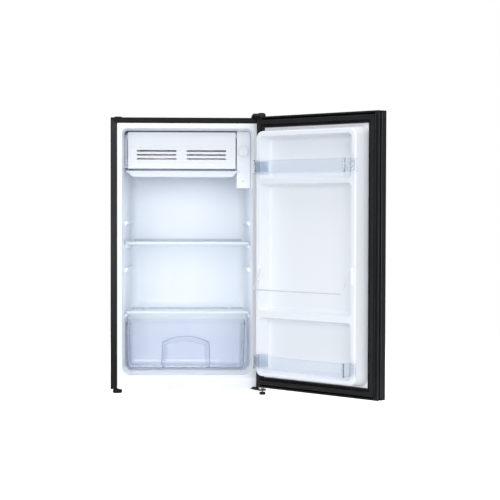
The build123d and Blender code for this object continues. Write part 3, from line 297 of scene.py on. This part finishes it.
def make_piece(name, vertices, faces, material, body, node=None, door=False, smooth_angle=35.0):
    """A mesh from vertices in millimetres; a piece of the door is given as closed and opened here."""
    mesh = bpy.data.meshes.new(name)
    place = IN_METRES @ OPENING if door else IN_METRES
    mesh.from_pydata([place @ Vector(v) for v in vertices], [], faces)
    mesh.validate()
    tidy = bmesh.new()
    tidy.from_mesh(mesh)
    bmesh.ops.recalc_face_normals(tidy, faces=tidy.faces)
    tidy.to_mesh(mesh)
    tidy.free()
    mesh.shade_smooth()
    mesh.set_sharp_from_angle(angle=math.radians(smooth_angle))
    mesh.materials.append(material)
    piece = bpy.data.objects.new(name, mesh)
    scene.collection.objects.link(piece)
    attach(piece, body)
    if node:
        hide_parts(node)
    return piece


def tube_faces(rings, count, closed):
    """Quads between rings of `count` points, joined end to end or capped."""
    faces = []
    last = rings if closed else rings - 1
    for i in range(last):
        a, b = i * count, (i + 1) % rings * count
        for j in range(count):
            k = (j + 1) % count
            faces.append((a + j, a + k, b + k, b + j))
    if not closed:
        faces.append(tuple(range(count)))
        faces.append(tuple((rings - 1) * count + j for j in range(count)))
    return faces


def arc_points(centre, radius, start, end, steps):
    """Points along an arc in a plane, angles in degrees."""
    points = []
    for i in range(steps + 1):
        a = math.radians(start + (end - start) * i / steps)
        points.append((centre[0] + radius * math.cos(a), centre[1] + radius * math.sin(a)))
    return points


def make_gasket():
    """Bellows seal: a lip, a valley and two rounded ribs, mitred at the corners and a little wavy."""
    inner_half, low, top = 202.0, 56.0, 817.0
    section = [(0.0, 0.0), (0.0, 1.6), (1.2, 4.6)] + arc_points((2.6, 5.4), 1.3, 150, 20, 4)
    section += [(4.8, 3.2), (6.6, 2.4), (8.3, 3.4)]
    section += arc_points((11.3, 9.9), 1.5, 175, 95, 4)
    section += [(14.2, 11.35), (15.4, 11.0), (16.2, 11.0), (17.4, 11.35)]
    section += arc_points((20.7, 9.9), 1.5, 85, 5, 4)
    section += [(22.1, 5.2), (22.6, 3.0), (24.0, 2.0), (24.0, 0.0)]
    corners = [(-1, low, -1), (1, low, -1), (1, top, 1), (-1, top, 1)]
    stations = []
    for (sx, z, dz), (sx2, z2, dz2) in zip(corners, corners[1:] + corners[:1]):
        run = 36 if z != z2 else 20
        for i in range(run):
            t = i / run
            x = inner_half * (sx + (sx2 - sx) * t)
            height = z + (z2 - z) * t
            at_corner = i == 0
            out_x = sx if (z != z2 or at_corner) else 0.0
            out_z = dz if (z == z2 or at_corner) else 0.0
            stations.append((x, height, out_x, out_z))
    vertices = []
    for n, (x, z, out_x, out_z) in enumerate(stations):
        wave = 1.0 if out_x and out_z else 0.985 + 0.015 * math.sin(n * 2.3) * math.sin(n * 0.71)
        for s, w in section:
            vertices.append((x + out_x * s, DOOR_IN_Y + w * wave, z + out_z * s))
    faces = tube_faces(len(stations), len(section), True)
    return make_piece("gasket_bellows", vertices, faces, MATERIALS["gasket"], "door", "door_gasket",
                      True)


def ribbon(path, low, high, thick, bead, ribs):
    """Upright strip along a plan path, thicker at its top and bottom rims, with upright ribs outside.

    `path` holds (x, w) points and `ribs` tells how ribbed the strip is at each of them."""
    rim = [(0.0, 1.0), (0.6, 1.0), (2.4, 1.0), (3.2, 0.0), (5.0, 0.0)]
    height = high - low
    outside = rim + [(height / 2, 0.0)] + [(height - z, b) for z, b in reversed(rim)]
    vertices = []
    for n, (x, w) in enumerate(path):
        before, after = path[max(n - 1, 0)], path[min(n + 1, len(path) - 1)]
        along = Vector((after[0] - before[0], after[1] - before[1])).normalized()
        out = Vector((along.y, -along.x))
        for z, b in outside:
            grown = thick / 2 + bead * b + (ribs[n] if 4.0 < z < height - 4.0 else 0.0)
            vertices.append((x + out.x * grown, DOOR_IN_Y + w + out.y * grown, low + z))
        for z, b in reversed(outside):
            vertices.append((x - out.x * thick / 2, DOOR_IN_Y + w - out.y * thick / 2, low + z))
    return vertices, tube_faces(len(path), 2 * len(outside), False)


def make_guard(name, node, body, low, half, front):
    """Clear bottle guard: straight front, rounded corners, ribbed sides and clips over the liner's wall."""
    height, thick = 40.0, 2.2
    foot, bend_w, corner = 20.0, 48.0, 4.0
    taper, side_steps = 3.2, 50
    side_path = [(-half + taper * (1 - i / side_steps), foot + (bend_w - foot) * i / side_steps)
                 for i in range(side_steps + 1)]
    side_path += [(-half, bend_w + (front - corner - bend_w) * i / side_steps)
                  for i in range(1, side_steps + 1)]
    bend = [(-half + corner - x, front - corner + w) for w, x in arc_points((0.0, 0.0), corner, 0, 90, 8)]
    straight = [(-half + corner + (half - corner) * i / 12, front) for i in range(1, 13)]
    left = side_path + bend[1:] + straight
    path = left + [(-x, w) for x, w in reversed(left[:-1])]
    rib_pitch, rib_w0, rib_w1 = 4.2, 22.0, 47.2
    ribs = []
    for x, w in path:
        ribbed = abs(x) > 100.0 and rib_w0 < w < rib_w1
        ribs.append(0.25 - 0.25 * math.cos((w - rib_w0) * math.tau / rib_pitch) if ribbed else 0.0)
    vertices, faces = ribbon(path, low, low + height, thick, 0.55, ribs)
    for side in (-1, 1):
        hook = [(194.2, 48.0), (194.2, 52.4), (193.4, 53.6), (192.0, 53.9)]
        run = [(192.0 - 17.0 * i / 40, 53.9) for i in range(1, 41)]
        clip = [(side * x, w) for x, w in hook + run]
        if side > 0:
            clip = clip[::-1]
        ridges = [0.28 - 0.28 * math.cos(x * math.tau / 3.4) if 177.0 < abs(x) < 190.0 else 0.0
                  for x, w in clip]
        more, more_faces = ribbon(clip, low, low + height, 1.5, 0.25, ridges)
        start = len(vertices)
        vertices += more
        faces += [tuple(start + i for i in face) for face in more_faces]
    return make_piece(name, vertices, faces, GUARD_PLASTIC, body, node, True)


def lathe(profile, centre, steps=48, flutes=0, flute_depth=0.0):
    """Turned solid from (radius, z) points, optionally fluted round its widest part."""
    widest = max(r for r, z in profile)
    vertices = []
    for i in range(steps):
        a = math.tau * i / steps
        for r, z in profile:
            cut = flute_depth * (0.5 + 0.5 * math.cos(a * flutes)) if flutes and r > 0.9 * widest else 0.0
            vertices.append((centre[0] + (r - cut) * math.cos(a), centre[1] + (r - cut) * math.sin(a), z))
    return vertices, tube_faces(steps, len(profile), True)


def make_right_foot():
    """Small levelling foot: fluted black pad and plated threaded stem."""
    place = (231.0, -230.0)
    pad = [(0.4, 0.2), (8.2, 0.2), (9.2, 1.2), (9.4, 2.4), (9.4, 6.6), (8.8, 7.8), (6.0, 8.6), (3.4, 9.0),
           (0.4, 9.0)]
    vertices, faces = lathe(pad, place, 96, 16, 0.8)
    make_piece("right_foot_pad", vertices, faces, MATERIALS["rubber"], "right_foot", "right_foot")
    thread = [(0.4, 8.0), (2.4, 8.0)]
    z = 8.6
    while z < 15.0:
        thread += [(2.4, z), (3.0, z + 0.35), (2.4, z + 0.7)]
        z += 0.9
    thread += [(2.4, 15.9), (0.4, 15.9)]
    vertices, faces = lathe(thread, place)
    make_piece("right_foot_stem", vertices, faces, MATERIALS["plated_steel"], "right_foot")


def make_shade_pegs(name, body, reach, y, z):
    """Painted shade: short dark rubber pegs that slant inwards at both ends of a shelf's front trim,
    standing in for the slanted shadows there.
    """
    lean, rise, steps = 4.2, 5.4, 12
    rings = ((0.0, 0.3), (0.08, 0.75), (0.2, 0.95), (0.8, 0.95), (0.92, 0.75), (1.0, 0.3))
    vertices, faces = [], []
    for side in (-1, 1):
        start = len(vertices)
        low = Vector((side * reach, y, z))
        high = Vector((side * (reach - lean), y, z + rise))
        along = (high - low).normalized()
        across = along.orthogonal().normalized()
        over = along.cross(across)
        for t, r in rings:
            centre = low.lerp(high, t)
            for j in range(steps):
                a = math.tau * j / steps
                vertices.append(tuple(centre + (across * math.cos(a) + over * math.sin(a)) * r))
        faces += [tuple(start + i for i in face) for face in tube_faces(len(rings), steps, False)]
    return make_piece(name, vertices, faces, MATERIALS["rubber"], body)


def make_hems():
    """Rolled edges of the door's steel skin, either side of the finger groove on the free side, painted a
    lighter grey than the skin: a painted highlight along each edge.
    """
    low, length, steps = 27.5, 819.0, 24
    heights = [low + length * i / steps for i in range(steps + 1)]
    vertices, faces = [], []
    for w in (-0.4, -14.2):
        centre = (-235.4, DOOR_IN_Y + w)
        start = len(vertices)
        ring = arc_points(centre, 0.55, 0, 330, 11)
        for z in heights:
            vertices += [(x, y, z) for x, y in ring]
        faces += [tuple(start + i for i in face) for face in tube_faces(len(heights), len(ring), False)]
    return make_piece("door_hem_beads", vertices, faces, HEM_HIGHLIGHT_PAINT, "door", None, True)


GUARD_PLASTIC = clear("guard_plastic", (0.97, 0.98, 0.99), (0.42, 0.55, 0.74), 72.0, 0.03, 1.5).material
# A lighter grey than the black skin: painted highlight on the rolled edges.
HEM_HIGHLIGHT_PAINT = painted("hem_highlight_paint", (0.11, 0.11, 0.112), 0.32).material

make_gasket()
make_guard("top_guard_moulding", "door_bar_top", "top_guard", 675.5, 174.2, 81.8)
make_guard("bottom_guard_moulding", "door_bar_bottom", "bottom_guard", 91.0, 173.6, 82.4)
make_right_foot()
make_hems()
# Dark pegs at the ends of the shelf and cover trims: painted shade.
make_shade_pegs("shelf_shade_pegs", "shelf", 195.0, -129.2, 459.6)
make_shade_pegs("cover_shade_pegs", "crisper_cover", 195.0, -125.2, 242.4)


# ---- floor, light, camera --------------------------------------------------------

def make_floor():
    """Pale studio floor that fades into the backdrop with distance."""
    bpy.ops.mesh.primitive_circle_add(vertices=96, radius=14.0, fill_type="NGON", location=(0, 0, 0))
    floor = bpy.context.object
    floor.name = "studio_floor"
    s = Shader("studio_floor", (0.86, 0.86, 0.86), 0.6)
    s.tint(s.remap(s.noise(1.5, 3.0), 0.3, 0.7, 0.0, 0.5), (0.88, 0.88, 0.88))
    s.bump(s.noise(240.0, 3.0), 0.00005)
    s.bsdf.inputs["Emission Color"].default_value = (1.0, 1.0, 1.0, 1.0)
    seen = s.add("ShaderNodeLightPath").outputs["Is Camera Ray"]
    s.tree.links.new(s.remap(seen, 0.0, 1.0, 0.15, 0.9), s.bsdf.inputs["Emission Strength"])
    away = s.add("ShaderNodeVectorMath", _0=s.coords)
    away.operation = "LENGTH"
    gone = s.remap(away.outputs["Value"], 0.7, 2.2, 1.0, 0.0)
    s.tree.links.new(gone, s.bsdf.inputs["Alpha"])
    floor.data.materials.append(s.material)


def softbox(name, place, target, size, power, color):
    """Rectangular area lamp aimed at a point."""
    lamp = bpy.data.lights.new(name, "AREA")
    lamp.shape = "RECTANGLE"
    lamp.size, lamp.size_y = size
    lamp.energy = power
    lamp.color = color
    holder = bpy.data.objects.new(name, lamp)
    scene.collection.objects.link(holder)
    holder.location = place
    holder.rotation_euler = (Vector(target) - Vector(place)).to_track_quat("-Z", "Y").to_euler()
    return holder


def make_world(fill, backdrop):
    """Even light from all round, with a plain backdrop that only the camera sees."""
    world = bpy.data.worlds.new("studio")
    scene.world = world
    world.use_nodes = True
    tree = world.node_tree
    out = tree.nodes["World Output"]
    shade = tree.nodes["Background"]
    shade.inputs["Color"].default_value = (*fill, 1.0)
    seen = tree.nodes.new("ShaderNodeBackground")
    seen.inputs["Color"].default_value = (*backdrop, 1.0)
    mix = tree.nodes.new("ShaderNodeMixShader")
    path = tree.nodes.new("ShaderNodeLightPath")
    tree.links.new(path.outputs["Is Camera Ray"], mix.inputs[0])
    tree.links.new(shade.outputs[0], mix.inputs[1])
    tree.links.new(seen.outputs[0], mix.inputs[2])
    tree.links.new(mix.outputs[0], out.inputs["Surface"])


def make_camera():
    """A little above the middle of the cabinet, far off, turned slightly to the right and down."""
    place = Vector((0.0200, -4.6605, 0.5720))
    yaw, pitch, roll = math.radians(2.22), math.radians(-1.65), math.radians(0.15)
    ahead = Vector((math.sin(yaw) * math.cos(pitch), math.cos(yaw) * math.cos(pitch), math.sin(pitch)))
    right = Vector((math.cos(yaw), -math.sin(yaw), 0.0))
    up = right.cross(ahead)
    turned = right * math.cos(roll) + up * math.sin(roll)
    upright = turned.cross(ahead)
    camera = bpy.data.cameras.new("camera")
    camera.sensor_width = 36.0
    camera.lens = 104.256
    holder = bpy.data.objects.new("camera", camera)
    scene.collection.objects.link(holder)
    facing = Matrix((turned, upright, -ahead)).transposed().to_4x4()
    holder.matrix_world = Matrix.Translation(place) @ facing
    scene.camera = holder


make_floor()
make_world((0.42, 0.44, 0.475), (1.0, 1.0, 1.0))
softbox("key", (-0.9, -5.2, 1.5), (0.0, 0.0, 0.45), (2.2, 2.2), 70.0, (1.0, 0.99, 0.97))
softbox("fill", (1.3, -5.0, 1.05), (0.0, 0.0, 0.50), (1.8, 1.8), 40.0, (1.0, 0.995, 0.985))
softbox("side", (2.9, -1.9, 0.9), (0.5, -0.5, 0.40), (1.4, 1.8), 5.0, (1.0, 1.0, 1.0))
softbox("top", (0.0, -1.1, 3.2), (0.0, -0.2, 0.0), (3.4, 3.4), 46.0, (1.0, 1.0, 1.0))
inside = softbox("inside", (0.0, -0.192, 0.37), (0.0, 0.1, 0.37), (0.36, 0.58), 0.46, (0.79, 0.86, 1.0))
inside.visible_camera = False
make_camera()
